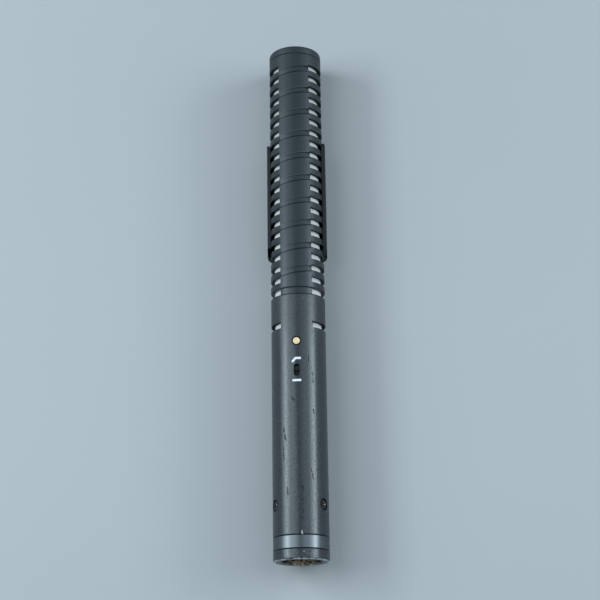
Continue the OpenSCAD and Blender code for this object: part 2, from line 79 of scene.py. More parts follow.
def round_seat(node):
    """(station, radius) in millimetres of a round piece that is let into the tube."""
    low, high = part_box(node)
    return station_of((low.y + high.y) / 2), (high.y - low.y) / 2 / MM


BODY_FROM, BODY_TO = (station_of(corner.y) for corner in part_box("body_tube"))
PIN_STATION, PIN_R = round_seat("marker_pin")
SCREW_STATION, SCREW_R = round_seat("body_screws")

# Angles of the two upper case screws, and radius of the connector's socket
SCREW_ANGLES = (math.radians(-60), math.radians(60))
SOCKET_R = 9.0

# Helical groove of the slotted tube: advance in one turn, station of its scored line on top, and
# stations of its two ends
GROOVE_LEAD = 10.0
GROOVE_STATION = 114.4
GROOVE_FROM, GROOVE_TO = 113.0, 205.5

# Stations of the two ends of the slots, and of the rear edge of the painted light in the joint
# behind the nose cap
SLOTS_FROM, SLOTS_TO = 109.0, 211.5
LIT_GAP_FROM = 212.5

# Nicks in the body tube: (arc, station) of both ends, and width
NICKS = (
    ((-1.9, 62.6), (-0.6, 60.9), 0.6),
    ((-5.9, 50.4), (-4.9, 46.0), 0.7),
    ((-6.1, 43.5), (-5.9, 38.0), 0.5),
    ((4.9, 34.5), (6.2, 30.5), 0.5),
    ((6.6, 58.0), (6.8, 56.4), 0.6),
    ((4.6, 79.5), (4.8, 77.0), 0.5),
    ((6.4, 73.0), (6.7, 69.0), 0.5),
    ((-4.4, 27.5), (-4.2, 24.5), 0.6),
)

# Long scuff near the body tube's rear end, given as the nicks are
SCUFF = ((1.5, 15.5), (1.7, 27.5), 1.1)


# ---- Finishes ----


class Value:
    """A number that changes over a surface. Arithmetic on it adds Math nodes."""

    def __init__(self, finish, socket):
        self.finish = finish
        self.socket = socket

    def math(self, operation, *operands):
        node = self.finish.add(
            "ShaderNodeMath", {"operation": operation}, dict(enumerate(operands))
        )
        return Value(self.finish, node.outputs[0])

    def __add__(self, other):
        return self.math("ADD", self, other)

    def __radd__(self, other):
        return self.math("ADD", other, self)

    def __sub__(self, other):
        return self.math("SUBTRACT", self, other)

    def __rsub__(self, other):
        return self.math("SUBTRACT", other, self)

    def __mul__(self, other):
        return self.math("MULTIPLY", self, other)

    def __rmul__(self, other):
        return self.math("MULTIPLY", other, self)

    def __truediv__(self, other):
        return self.math("DIVIDE", self, other)

    def __rtruediv__(self, other):
        return self.math("DIVIDE", other, self)

    def __abs__(self):
        return self.math("ABSOLUTE", self)

    def root(self):
        return self.math("SQRT", self)

    def sine(self):
        return self.math("SINE", self)

    def fraction(self):
        """What is left above the next lower whole number."""
        return self.math("FRACT", self)

    def angle_from(self, other):
        """Angle whose tangent is this over the other, in radians."""
        return self.math("ARCTAN2", self, other)

    def at_least(self, other):
        return self.math("MAXIMUM", self, other)

    def at_most(self, other):
        return self.math("MINIMUM", self, other)

    def rise(self, low, high):
        """Smooth step from 0 where this is low to 1 where it is high."""
        node = self.finish.add(
            "ShaderNodeMapRange",
            {"interpolation_type": "SMOOTHSTEP"},
            {"Value": self, "From Min": low, "From Max": high, "To Min": 0.0, "To Max": 1.0},
        )
        return Value(self.finish, node.outputs["Result"])

    def fall(self, low, high):
        """Smooth step from 1 where this is low to 0 where it is high."""
        return 1.0 - self.rise(low, high)


class Finish:
    """A material in the making: one Principled shader and the nodes that feed it."""

    def __init__(self, name, constants):
        self.material = bpy.data.materials.new(name)
        self.material.use_nodes = True
        self.tree = self.material.node_tree
        self.shader = self.tree.nodes["Principled BSDF"]
        self.set(constants)
        self.place = self.add("ShaderNodeTexCoord").outputs["Object"]

    def add(self, kind, settings=None, inputs=None):
        """Adds one node: its settings first, then the values or links of its sockets."""
        node = self.tree.nodes.new(kind)
        for name, setting in (settings or {}).items():
            setattr(node, name, setting)
        for key, given in (inputs or {}).items():
            self.feed(self.socket(node, key), given)
        return node

    def socket(self, node, key):
        """Input of a node, by its number or by the name of the one that is in use."""
        if isinstance(key, int):
            return node.inputs[key]
        return next(s for s in node.inputs if s.enabled and s.name == key)

    def feed(self, socket, given):
        """Links a Value or an output to a socket, or sets the socket to a number or a colour."""
        if isinstance(given, Value):
            given = given.socket
        if isinstance(given, bpy.types.NodeSocket):
            self.tree.links.new(given, socket)
        elif hasattr(socket.default_value, "__len__") and len(socket.default_value) == 4:
            socket.default_value = tuple(given)[:3] + (1.0,)
        else:
            socket.default_value = given

    def set(self, sockets):
        """Sets or links sockets of the shader by name."""
        for name, given in sockets.items():
            self.feed(self.shader.inputs[name], given)

    def mix(self, part, first, second):
        """Colour between two colours, the second where the part is 1."""
        node = self.add(
            "ShaderNodeMix",
            {"data_type": "RGBA"},
            {"Factor": part, "A": first, "B": second},
        )
        return next(s for s in node.outputs if s.enabled)

    def axes(self):
        """The three parts of the object's place, in metres."""
        parts = self.add("ShaderNodeSeparateXYZ", inputs={0: self.place}).outputs
        return [Value(self, part) for part in parts]

    def round_axis(self):
        """(angle in radians, station, radius) round the microphone, from the object's place."""
        x, y, z = self.axes()
        across = x / MM
        up = (z - AXIS_Z) / MM
        station = (y - RIM_Y) / MM
        return across.angle_from(up), station, (across * across + up * up).root()

    def noise(self, size, detail=2.0):
        """Noise from 0 to 1 with lumps of this size in millimetres."""
        return self.noise_at(self.place, 1 / (size * MM), detail)

    def streaks(self, x, y, z, detail=3.0):
        """Noise from 0 to 1 over three values, drawn out along the one that changes slowest."""
        place = self.add("ShaderNodeCombineXYZ", inputs={0: x, 1: y, 2: z}).outputs[0]
        return self.noise_at(place, 1.0, detail)

    def noise_at(self, place, scale, detail):
        """Noise from 0 to 1 over a place that is first multiplied by the scale."""
        inputs = {"Vector": place, "Scale": scale, "Detail": detail, "Roughness": 0.5}
        return Value(self, self.add("ShaderNodeTexNoise", None, inputs).outputs["Fac"])

    def bump(self, height, depth):
        """Relief of this depth in millimetres where the height goes from 0 to 1."""
        node = self.add(
            "ShaderNodeBump", None, {"Height": height, "Distance": depth * MM, "Strength": 1.0}
        )
        self.set({"Normal": node.outputs["Normal"]})

    def to(self, *names):
        """Puts the material on carried-over nodes."""
        for name in names:
            NODES[name].material_slots[0].material = self.material


def mottled(name, colours, lump, roughness, grain, depth, *nodes, metallic=0.0, detail=3):
    """Puts a soft mottle of two colours over a fine grain on some nodes.

    The mottle has lumps of one size and the grain's relief another. The roughness is given where
    the mottle is 0 and as what is added where it is 1.
    """
    finish = Finish(name, {"Metallic": metallic})
    mottle = finish.noise(lump, detail)
    least, added = roughness
    finish.set({"Base Color": finish.mix(mottle, *colours), "Roughness": least + mottle * added})
    finish.bump(finish.noise(grain), depth)
    finish.to(*nodes)


def stroke(across, along, start, end, width, edge=0.06):
    """Mask of a round-ended stroke between two points given as (across, along).

    The nearest point of the segment is found by projecting on it and clamping, and the mask is
    1 within half the width of that point.
    """
    run = (end[0] - start[0], end[1] - start[1])
    square = run[0] ** 2 + run[1] ** 2
    part = ((across - start[0]) * run[0] + (along - start[1]) * run[1]) / square
    part = part.at_least(0.0).at_most(1.0)
    from_across = across - start[0] - part * run[0]
    from_along = along - start[1] - part * run[1]
    distance = (from_across * from_across + from_along * from_along).root()
    return distance.fall(width / 2 - edge, width / 2 + edge)


def bar(across, along, centre, half_across, half_along, edge=0.06):
    """Mask of an upright rectangle centred at (across, along)."""
    beside = abs(across - centre[0]).fall(half_across - edge, half_across + edge)
    return beside * abs(along - centre[1]).fall(half_along - edge, half_along + edge)


def spot(across, along, centre, radius, edge=0.1):
    """Mask of a round spot centred at (across, along)."""
    from_across = across - centre[0]
    from_along = along - centre[1]
    distance = (from_across * from_across + from_along * from_along).root()
    return distance.fall(radius - edge, radius + edge)


def outer_face(radius):
    """Mask of the tube's outer face, without what is let into it."""
    return radius.rise(TUBE_R - 0.3, TUBE_R - 0.15)


# ---- Settings ----


def colour(name, description, default):
    return FloatVectorProperty(
        name=name, description=description, subtype="COLOR", size=3, min=0, max=1, default=default
    )


def length(name, description, default):
    return FloatProperty(name=name, description=description, default=default, min=0)


def offset(name, description, default):
    return FloatProperty(name=name, description=description, default=default)


def metres(name, description, default):
    return FloatProperty(name=name, description=description, unit="LENGTH", default=default)


def radiance(name, description, default):
    return FloatProperty(name=name, description=description, default=default, min=0)


def share(name, description, default):
    return FloatProperty(
        name=name, description=description, subtype="FACTOR", default=default, min=0, max=1
    )


def angle(name, description, degrees):
    return FloatProperty(
        name=name, description=description, subtype="ANGLE", default=math.radians(degrees)
    )


class MetalSettings(bpy.types.PropertyGroup):
    """Finish of the outer metal."""

    body_colour: colour("Body", "Satin black of the body tube", (0.013, 0.0165, 0.019))
    body_cloud: colour("Body clouds", "Paler clouds in the satin black", (0.026, 0.032, 0.037))
    # This dark colour serves both the real nicks, scuff and pits and the painted shade round the
    # pin and screws, in the recesses and at the front edge
    body_mark: colour("Body marks", "Dark marks in the satin black", (0.004, 0.005, 0.006))
    body_roughness: share("Body roughness", "Roughness of the satin black", 0.29)
    body_tint: colour("Body shine", "Tint of the satin black's shine", (0.80, 0.92, 1.0))
    front_colour: colour("Front", "Matte black of the slotted tube", (0.0096, 0.0138, 0.0172))
    front_cloud: colour("Front clouds", "Paler clouds in the matte black", (0.020, 0.026, 0.031))
    # Painted light: this paler colour lightens the groove's shaded step and the joint behind the
    # nose cap
    front_painted_light: colour("Front dust", "Dust along the front's edges", (0.055, 0.07, 0.08))
    # Painted shade: this dark colour stands for the shade in the scored line and on the slot walls
    front_painted_shade: colour("Front marks", "Scored line and slot walls", (0.003, 0.004, 0.005))
    front_roughness: share("Front roughness", "Roughness of the matte black", 0.42)
    front_tint: colour("Front shine", "Tint of the matte black's shine", (0.74, 0.89, 1.0))
    blast_size: length("Blast size", "Size of the blasted grain, in mm", 0.6)
    ring_colour: colour("Ring", "Bare metal of the marker ring", (0.092, 0.108, 0.122))
    bare_colour: colour("Bare metal", "Metal where the black has worn off", (0.62, 0.66, 0.69))


class MarkSettings(bpy.types.PropertyGroup):
    """Printed marks on the body tube."""

    paint_colour: colour("Paint", "White of the marks", (0.80, 0.89, 0.96))
    tick_angle: angle("Tick angle", "Angle of the index tick from the top", 6.5)
    tick_to: length("Tick end", "Station of the tick's front end, in mm", 10.7)
    tick_width: length("Tick width", "Width of the tick, in mm", 0.45)
    tick_paint: share("Tick paint", "How much paint is left on the tick", 0.45)
    foot_paint: share("Foot paint", "How much paint is left on the tick's wide foot", 0.7)
    dash_at: length("Dash", "Station of the dash behind the switch, in mm", 69.6)
    dash_length: length("Dash length", "Length of the dash across the tube, in mm", 3.45)
    stroke_width: length("Stroke", "Width of the dash and of the filter sign, in mm", 0.9)
    sign_low: length("Sign foot", "Station of the filter sign's low end, in mm", 77.35)
    sign_high: length("Sign top", "Station of the filter sign's level part, in mm", 78.6)
    sign_left: offset("Sign left", "Arc of the filter sign's low end, in mm", -1.55)
    sign_bend: offset("Sign bend", "Arc of the filter sign's bend, in mm", -0.45)
    sign_right: offset("Sign right", "Arc of the filter sign's right end, in mm", 1.7)


class ClothSettings(bpy.types.PropertyGroup):
    """Cloth behind the slots."""

    rear_colour: colour("Rear", "Threads at the rear", (0.80, 0.84, 0.85))
    front_colour: colour("Front", "Threads at the front, duller", (0.56, 0.59, 0.57))
    gap_colour: colour("Gaps", "Gaps between the threads", (0.44, 0.47, 0.46))


class GrilleSettings(bpy.types.PropertyGroup):
    """Woven wire in the nose."""

    pitch: length("Pitch", "Distance from one wire to the next, in mm", 1.15)
    wire: length("Wire", "Diameter of a wire, in mm", 0.34)
    sides: IntProperty(name="Sides", description="Sides of a wire", default=6, min=3)
    steps: IntProperty(name="Steps", description="Points along each pitch", default=6, min=4)


class ClipSettings(bpy.types.PropertyGroup):
    """Moulded spring clip."""

    plastic_colour: colour("Plastic", "Black of the moulded clip", (0.006, 0.009, 0.012))
    flow_colour: colour("Flow", "Paler streams in the plastic", (0.015, 0.020, 0.024))
    edge_radius: length("Edge radius", "Radius of the clip's edges, in mm", 0.25)


class StudioSettings(bpy.types.PropertyGroup):
    """Floor, lamps, room and camera."""

    floor_colour: colour("Floor", "Pale blue-grey of the floor", (0.460, 0.517, 0.556))
    floor_cloud: colour("Floor clouds", "Paler clouds in the floor", (0.492, 0.552, 0.594))
    # Painted shade: how much the floor darkens past the nose, where the lamps' light falls off
    floor_fade: share("Floor fade", "How much darker the floor is past the nose", 0.1)
    fade_reach: metres("Fade reach", "Distance each way over which the floor darkens", 0.13)
    room_colour: colour("Room", "Colour of the room behind the floor", (0.42, 0.51, 0.575))
    ambient: share("Ambient", "Brightness of the room", 0.43)
    lamp_colour: colour("Lamp", "Colour of the lamps", (0.93, 0.98, 1.0))
    lamp_length: metres("Lamp length", "Length of the lamps along the microphone", 0.60)
    lamp_distance: metres("Lamp distance", "Distance of the lamps", 0.9)
    lamp_forward: metres("Lamps forward", "Place of the lamps in front of the middle", 0.175)
    box_width: metres("Box width", "Width of a soft box", 0.19)
    left_angle: angle("Left lean", "Angle of the left box and halo from overhead", -54)
    right_angle: angle("Right lean", "Angle of the right box from overhead", 65)
    right_halo_angle: angle("Right halo lean", "Angle of the right halo from overhead", 60)
    left_panel_angle: angle("Left panel lean", "Angle of the left panel from overhead", -24)
    right_panel_angle: angle("Right panel lean", "Angle of the right panel from overhead", 30)
    left_box: radiance("Left box", "Brightness of the left soft box", 8.58)
    left_halo: radiance("Left halo", "Brightness of the wide cloth round the left box", 2.24)
    right_box: radiance("Right box", "Brightness of the right soft box", 5.72)
    right_halo: radiance("Right halo", "Brightness of the wide cloth round the right box", 3.472)
    left_panel: radiance("Left panel", "Brightness of the left ceiling panel", 2.139)
    right_panel: radiance("Right panel", "Brightness of the right ceiling panel", 0.989)
    camera_at: FloatVectorProperty(
        name="Camera",
        description="Place of the camera",
        unit="LENGTH",
        default=(0.04493, -0.1801, 0.55051),
    )
    camera_turn: FloatVectorProperty(
        name="Turn",
        description="Turn of the camera about X, Y and Z",
        subtype="EULER",
        default=tuple(math.radians(a) for a in (18.1798, 4.9411, -0.7611)),
    )
    lens: length("Lens", "Focal length in mm", 83.436)


SETTINGS = {
    "mic_metal": MetalSettings,
    "mic_marks": MarkSettings,
    "mic_cloth": ClothSettings,
    "mic_grille": GrilleSettings,
    "mic_clip": ClipSettings,
    "mic_studio": StudioSettings,
}


# ---- Surfaces ----


def linked(name, mesh):
    """New object of the scene, at the origin, for a mesh in metres."""
    thing = bpy.data.objects.new(name, mesh)
    bpy.context.scene.collection.objects.link(thing)
    return thing


def mesh_object(name, points, faces):
    """New object from an array of points in metres and lists of faces."""
    mesh = bpy.data.meshes.new(name)
    mesh.from_pydata(points.reshape(-1, 3), [], faces)
    mesh.shade_smooth()
    mesh.update()
    return linked(name, mesh)


def woven_wires(radius, pitch, wire, sides, steps):
    """Points and faces of one direction of a plain weave that fills a disc, level at height 0.

    Wire k lies at k times the pitch from the middle. Along it the height is half a wire times
    the cosine of pi times the distance over the pitch, with its sign changed from wire to wire.
    Its round section is a circle of that many sides, carried upright along the wire.
    """
    count = int(radius / pitch)
    number = np.arange(-count, count + 1)
    offset = number * pitch
    half = np.sqrt(radius**2 - offset**2)
    rows = 2 * count * steps + 1
    along = half[:, None] * np.linspace(-1, 1, rows)[None, :]
    lift = wire / 2 * np.cos(np.pi * (along / pitch + number[:, None]))
    turn = 2 * np.pi * np.arange(sides) / sides
    points = np.stack(
        np.broadcast_arrays(
            offset[:, None, None] + wire / 2 * np.cos(turn),
            lift[:, :, None] + wire / 2 * np.sin(turn),
            along[:, :, None],
        ),
        axis=-1,
    )
    index = np.arange(points[..., 0].size).reshape(points.shape[:3])
    around = np.roll(index, -1, axis=2)
    quads = np.stack(
        [index[:, :-1], index[:, 1:], around[:, 1:], around[:, :-1]], axis=-1
    ).reshape(-1, 4)
    caps = np.concatenate([index[:, 0], index[:, -1, ::-1]])
    return points.reshape(-1, 3), quads, caps


def face_outwards(thing):
    """Turns the faces of a closed mesh outwards."""
    work = bmesh.new()
    work.from_mesh(thing.data)
    bmesh.ops.recalc_face_normals(work, faces=work.faces)
    work.to_mesh(thing.data)
    work.free()


def merged_copy(name, node):
    """Copy of a carried-over node with its doubles merged and its flat faces joined."""
    mesh = NODES[node].data.copy()
    mesh.name = name
    work = bmesh.new()
    work.from_mesh(mesh)
    bmesh.ops.remove_doubles(work, verts=work.verts, dist=1e-6)
    bmesh.ops.dissolve_limit(
        work, angle_limit=math.radians(0.3), verts=work.verts, edges=work.edges
    )
    work.to_mesh(mesh)
    work.free()
    if mesh.has_custom_normals:
        mesh.attributes.remove(mesh.attributes["custom_normal"])
    return linked(name, mesh)


# ---- Operators ----


class MIC_OT_tubes(bpy.types.Operator):
    """Give the body tube, the slotted tube, the joint sleeve and the nose cap their black finish"""

    bl_idname = "microphone.tubes"
    bl_label = "Tubes"

    def execute(self, context):
        self.body(context.scene.mic_metal, context.scene.mic_marks)
        self.front(context.scene.mic_metal)
        return {"FINISHED"}

    def body(self, metal, marks):
        """Satin black with printed marks, a few handling marks, and painted shade round the pin and
        screws, on the recess walls and at the front edge.
        """
        finish = Finish(
            "satin_black", {"Specular IOR Level": 0.75, "Specular Tint": metal.body_tint}
        )
        turn, station, radius = finish.round_axis()
        arc = turn * TUBE_R
        outside = outer_face(radius)
        printed = self.printed_marks(marks, arc, station) * outside
        # Painted shade: a dark band at the body's front end and dark rings round the pin and the
        # screws, for the shade in the gaps there
        front_edge_shade = station.rise(BODY_TO - 0.55, BODY_TO - 0.35)
        seam_shade = self.seam_shade(arc, station).at_least(front_edge_shade * 0.8) * outside
        nicks = self.nicks(finish, arc, station)
        scuff = stroke(arc, station, *SCUFF, 0.4)
        scuff = scuff * finish.noise(1.1).rise(0.47, 0.57)
        worn_patch = station.fall(26.0, 44.0) * 0.03
        pits = (finish.noise(0.8, 3) + worn_patch).rise(0.68, 0.74) * outside
        # Painted shade on everything below the outer face: the walls of the recesses, the ends and
        # the inside
        walls = 1.0 - outside
        dark = seam_shade.at_least(nicks).at_least(scuff * 0.6)
        dark = dark.at_least(pits * 0.35).at_least(walls * 0.95)

        blast = finish.noise(metal.blast_size, 2)
        clouds = finish.noise(14, 3)
        rubbed = finish.noise(1.2, 4).rise(0.62, 0.72) * finish.noise(9, 2).rise(0.55, 0.75)
        specks = finish.noise(0.5, 2).rise(0.46, 0.60) * outside
        duller = station.rise(78.0, 101.0)
        base = finish.mix(clouds * 0.25 + rubbed * 0.12, metal.body_colour, metal.body_cloud)
        # The dark mask holds the real nicks, scuff and pits and the painted shade above; it darkens
        # the colour and takes away the shine
        base = finish.mix(dark, base, metal.body_mark)
        finish.set(
            {
                "Base Color": finish.mix(printed, base, marks.paint_colour),
                "Metallic": dark.at_least(specks * 0.3) * (1.0 - printed),
                "Roughness": metal.body_roughness
                + duller * 0.105
                + (clouds - 0.5) * 0.06
                + (blast - 0.5) * 0.08
                + printed * 0.12
                + dark * 0.2,
            }
        )
        finish.bump(blast + rubbed * 0.2 + printed * 0.25 - nicks * 0.8 - pits * 0.3, 0.045)
        finish.to("body_tube")

    def printed_marks(self, marks, arc, station):
        """Mask of the worn index tick and its foot, the dash, and the bent filter sign."""
        tick_arc = marks.tick_angle * TUBE_R
        tick_half = (marks.tick_to - BODY_FROM) / 2
        stroke_half = marks.stroke_width / 2
        sign_end = (marks.sign_left, marks.sign_low)
        sign_bend = (marks.sign_bend, marks.sign_high)
        level_at = ((marks.sign_bend + marks.sign_right) / 2, marks.sign_high)
        level_half = (marks.sign_right - marks.sign_bend) / 2
        tick = bar(arc, station, (tick_arc, BODY_FROM + tick_half), marks.tick_width / 2, tick_half)
        foot = bar(arc, station, (tick_arc + 0.1, BODY_FROM + 0.2), 0.3, 0.25)
        dash = bar(arc, station, (0, marks.dash_at), marks.dash_length / 2, stroke_half)
        level = bar(arc, station, level_at, level_half, stroke_half)
        slope = stroke(arc, station, sign_end, sign_bend, marks.stroke_width)
        worn = (tick * marks.tick_paint).at_least(foot * marks.foot_paint)
        return worn.at_least(dash).at_least(level).at_least(slope)

    def seam_shade(self, arc, station):
        """Mask of the painted shade in the rings round the marker pin and the two upper screws."""
        seam_shade = spot(arc, station, (0, PIN_STATION), PIN_R + 0.42)
        for lean in SCREW_ANGLES:
            seat = (lean * TUBE_R, SCREW_STATION)
            seam_shade = seam_shade.at_least(spot(arc, station, seat, SCREW_R + 0.5))
        return seam_shade

    def nicks(self, finish, arc, station):
        """Mask of the nicks, broken up along their length."""
        nicks = 0.0
        for start, end, width in NICKS:
            nicks = stroke(arc, station, start, end, width, 0.15).at_least(nicks)
        return nicks * finish.noise(0.8).rise(0.36, 0.52) * 0.7

    def front(self, metal):
        """Matte black with faint helical turning lines, painted shade on a scored line and the slot
        walls, and painted light on the groove's step and in the joint behind the nose cap.
        """
        finish = Finish(
            "matte_black", {"Specular IOR Level": 0.51, "Specular Tint": metal.front_tint}
        )
        turn, station, radius = finish.round_axis()
        helix = station - turn * (GROOVE_LEAD / math.tau)
        lines = finish.streaks(helix * 1.3, turn * 0.35, 0.0)
        # Distance in front of the last pass of the scored line
        beyond = ((helix - GROOVE_STATION) / GROOVE_LEAD).fraction() * GROOVE_LEAD
        grooved = station.rise(GROOVE_FROM, GROOVE_FROM + 0.4)
        grooved = grooved * station.fall(GROOVE_TO - 0.3, GROOVE_TO)
        # Painted shade along the scored line, for the shade in its narrow cut
        scored = beyond.fall(0.45, 0.6) * grooved * 0.6
        # Painted light: a paler band on the groove's step, which the lamps light only at a slant
        step_light = beyond.rise(2.5, 2.6) * beyond.fall(2.78, 2.88) * grooved
        slotted = station.rise(SLOTS_FROM, SLOTS_FROM + 0.4)
        slotted = slotted * station.fall(SLOTS_TO - 0.5, SLOTS_TO)
        # Painted shade on the slot walls
        walls = radius.fall(TUBE_R - 0.5, TUBE_R - 0.36) * slotted
        # Painted light in the joint behind the nose cap, which the lamps hardly reach
        nose_gap_light = radius.fall(TUBE_R - 0.25, TUBE_R - 0.1)
        nose_gap_light = nose_gap_light * station.rise(LIT_GAP_FROM, LIT_GAP_FROM + 0.2)
        # Both painted lights take one paler colour; the step's grows towards the front
        painted_light = nose_gap_light.at_least(step_light * station.rise(118.0, 165.0) * 0.6)
        # The scored line and the slot walls get a dark colour and lose most of their shine: painted
        # shade
        dark = scored.at_least(walls * 0.95)

        blast = finish.noise(metal.blast_size, 2)
        clouds = finish.noise(12, 3)
        pale = clouds * 0.3 + lines.rise(0.55, 0.75) * 0.25
        base = finish.mix(pale, metal.front_colour, metal.front_cloud)
        base = finish.mix(painted_light, base, metal.front_painted_light)
        finish.set(
            {
                "Base Color": finish.mix(dark, base, metal.front_painted_shade),
                "Metallic": dark * 0.8,
                "Roughness": metal.front_roughness
                - station.fall(112.0, 140.0) * 0.05
                + station.rise(170.0, 205.0) * 0.04
                + (clouds - 0.5) * 0.08
                + (lines - 0.5) * 0.1,
            }
        )
        finish.bump(blast + lines * 0.2, 0.04)
        finish.to("slotted_tube", "nose_cap", "joint_sleeve")


class MIC_OT_connector(bpy.types.Operator):
    """Finish the connector collar, its insert and contacts, the unpainted metal ring and the case
    screws
    """

    bl_idname = "microphone.connector"
    bl_label = "Connector end"

    def execute(self, context):
        metal = context.scene.mic_metal
        self.collar(metal)
        self.ring(metal)
        self.contacts()
        self.insert()
        self.screws()
        return {"FINISHED"}

    def collar(self, metal):
        """Satin black, worn to the metal along the rim's edge, with paler grey and brown patches
        inside the mouth, the brown mostly on its underside.
        """
        finish = Finish(
            "worn_collar", {"Specular IOR Level": 0.82, "Specular Tint": metal.body_tint}
        )
        turn, station, radius = finish.round_axis()
        blast = finish.noise(metal.blast_size, 2)
        chips = finish.noise(0.8, 4)
        specks = finish.noise(0.5, 2).rise(0.46, 0.60)
        edge = radius.rise(TUBE_R - 1.3, TUBE_R - 1.0) * station.fall(0.3, 0.6)
        face = station.fall(0.02, 0.1)
        worn = (edge * 0.8 + chips * 0.7).rise(1.06, 1.2)
        worn = worn.at_least(face * finish.noise(0.6, 3).rise(0.66, 0.72) * 0.6)
        mouth = radius.fall(SOCKET_R - 0.05, SOCKET_R + 0.05) * station.fall(3.0, 6.0)
        underside = abs(turn).rise(2.3, 2.7)
        patches = finish.noise(1.5, 4).rise(0.43, 0.58) * mouth * (0.2 + underside * 0.8)
        chip = spot(turn * TUBE_R, station, (1.9, 2.7), 0.22) * outer_face(radius)
        base = finish.mix(finish.noise(10, 3) * 0.3, metal.body_colour, metal.body_cloud)
        base = finish.mix(face, base, (0.070, 0.075, 0.080))
        base = finish.mix(mouth * 0.8, base, (0.05, 0.05, 0.05))
        base = finish.mix(patches, base, (0.78, 0.62, 0.42))
        finish.set(
            {
                "Base Color": finish.mix(worn.at_least(chip * 0.5), base, metal.bare_colour),
                "Metallic": worn.at_least(patches * 0.2).at_least(specks * 0.5 * (1.0 - face)),
                "Roughness": metal.body_roughness + (blast - 0.5) * 0.1 + face * 0.12,
            }
        )
        finish.bump(blast - worn * 0.25 + chips * 0.3, 0.045)
        finish.to("connector_shell")

    def ring(self, metal):
        """Bare grey metal with fine turning lines round it."""
        finish = Finish("gunmetal", {"Metallic": 1.0})
        turn, station, _ = finish.round_axis()
        lines = finish.streaks(station * 6.0, turn * 0.4, 0.0)
        smudge = finish.noise(5, 3)
        finish.set(
            {
                "Base Color": finish.mix(smudge * 0.6, metal.ring_colour, (0.13, 0.15, 0.165)),
                "Roughness": 0.33 + (smudge - 0.5) * 0.12 + (lines - 0.5) * 0.12,
            }
        )
        finish.bump(lines, 0.004)
        finish.to("marker_ring")

    def contacts(self):
        """Gold plating, a little rubbed."""
        gold = ((0.78, 0.53, 0.2), (0.9, 0.68, 0.34))
        nodes = ("xlr_pins", "ground_ring", "contact_pin")
        mottled("contact_gold", gold, 1.5, (0.2, 0.16), 0.25, 0.002, *nodes, metallic=1.0)

    def insert(self):
        """Brown moulded insert with a fine mottled grain."""
        brown = ((0.035, 0.018, 0.010), (0.075, 0.042, 0.024))
        mottled("insert_brown", brown, 0.8, (0.42, 0.15), 0.4, 0.008, "xlr_insert", detail=4)

    def screws(self):
        """Blackened steel mottled with bronze, with painted shade in the socket and a painted glint
        beside it.
        """
        finish = Finish("screw_black", {})
        turn, station, _ = finish.round_axis()
        bronze_mottle = finish.noise(0.7, 4).rise(0.5, 0.68)
        painted_glint = 0.0
        socket = 0.0
        # Painted shade in each socket's hole, and a painted glint on the head beside it, for the
        # light caught by the socket's far wall
        for lean in SCREW_ANGLES:
            across = (turn - lean) * TUBE_R
            socket = spot(across, station, (0, SCREW_STATION), 0.6).at_least(socket)
            painted_glint = spot(across, station, (0.9, SCREW_STATION + 0.1), 0.3).at_least(painted_glint)
        base = finish.mix(bronze_mottle * 0.5, (0.022, 0.024, 0.027), (0.22, 0.19, 0.16))
        base = finish.mix(socket, base, (0.003, 0.003, 0.004))
        finish.set(
            {
                "Base Color": finish.mix(painted_glint, base, (0.68, 0.63, 0.60)),
                "Metallic": 0.85 - painted_glint * 0.5,
                "Roughness": 0.36 + finish.noise(1.0) * 0.14,
            }
        )
        finish.bump(finish.noise(0.2), 0.004)
        finish.to("body_screws")


class MIC_OT_switch(bpy.types.Operator):
    """Finish the recessed switch and the brass marker pin"""

    bl_idname = "microphone.switch"
    bl_label = "Switch and marker"

    def execute(self, context):
        self.knob()
        self.case()
        self.marker()
        return {"FINISHED"}

    def knob(self):
        """Greenish black moulding, polished on top by use."""
        finish = Finish("knob_black", {"Specular IOR Level": 0.3})
        _, _, radius = finish.round_axis()
        grain = finish.noise(0.25, 3)
        top = radius.rise(TUBE_R - 1.2, TUBE_R - 0.95)
        pale = grain * 0.5 + top * 0.4
        finish.set(
            {
                "Base Color": finish.mix(pale, (0.006, 0.010, 0.008), (0.014, 0.021, 0.017)),
                "Roughness": 0.5 - top * 0.12 + (grain - 0.5) * 0.1,
            }
        )
        finish.bump(grain, 0.006)
        finish.to("switch_slider")

    def case(self):
        """Drawn steel, brushed along its length."""
        finish = Finish("switch_steel", {"Metallic": 1.0})
        x, y, z = finish.axes()
        brushed = finish.streaks(x * 4000.0, y * 150.0, z * 4000.0)
        finish.set(
            {
                "Base Color": finish.mix(brushed, (0.36, 0.37, 0.38), (0.52, 0.53, 0.54)),
                "Roughness": 0.3 + brushed * 0.2,
            }
        )
        finish.bump(brushed, 0.004)
        finish.to("switch_case")

    def marker(self):
        """Pale turned brass: rings round its own middle, painted shade round its edge and small
        stains.
        """
        finish = Finish("marker_brass", {})
        x, y, _ = finish.axes()
        across = x / MM
        along = (y - RIM_Y) / MM - PIN_STATION
        distance = (across * across + along * along).root()
        rings = (distance * 38.0).sine() * 0.5 + 0.5
        patches = finish.noise(0.6, 3).rise(0.35, 0.65)
        # Painted shade round the pin's edge, beside the painted ring on the tube
        edge = distance.rise(PIN_R - 0.25, PIN_R - 0.1)
        base = finish.mix(patches * 0.6, (0.88, 0.75, 0.50), (0.66, 0.49, 0.22))
        finish.set(
            {
                "Base Color": finish.mix(edge * 0.7, base, (0.10, 0.07, 0.03)),
                "Metallic": 0.35 + patches * 0.1,
                "Roughness": 0.44 + patches * 0.12 + (rings - 0.5) * 0.05,
            }
        )
        finish.bump(rings * 0.5 + patches, 0.008)
        finish.to("marker_pin")


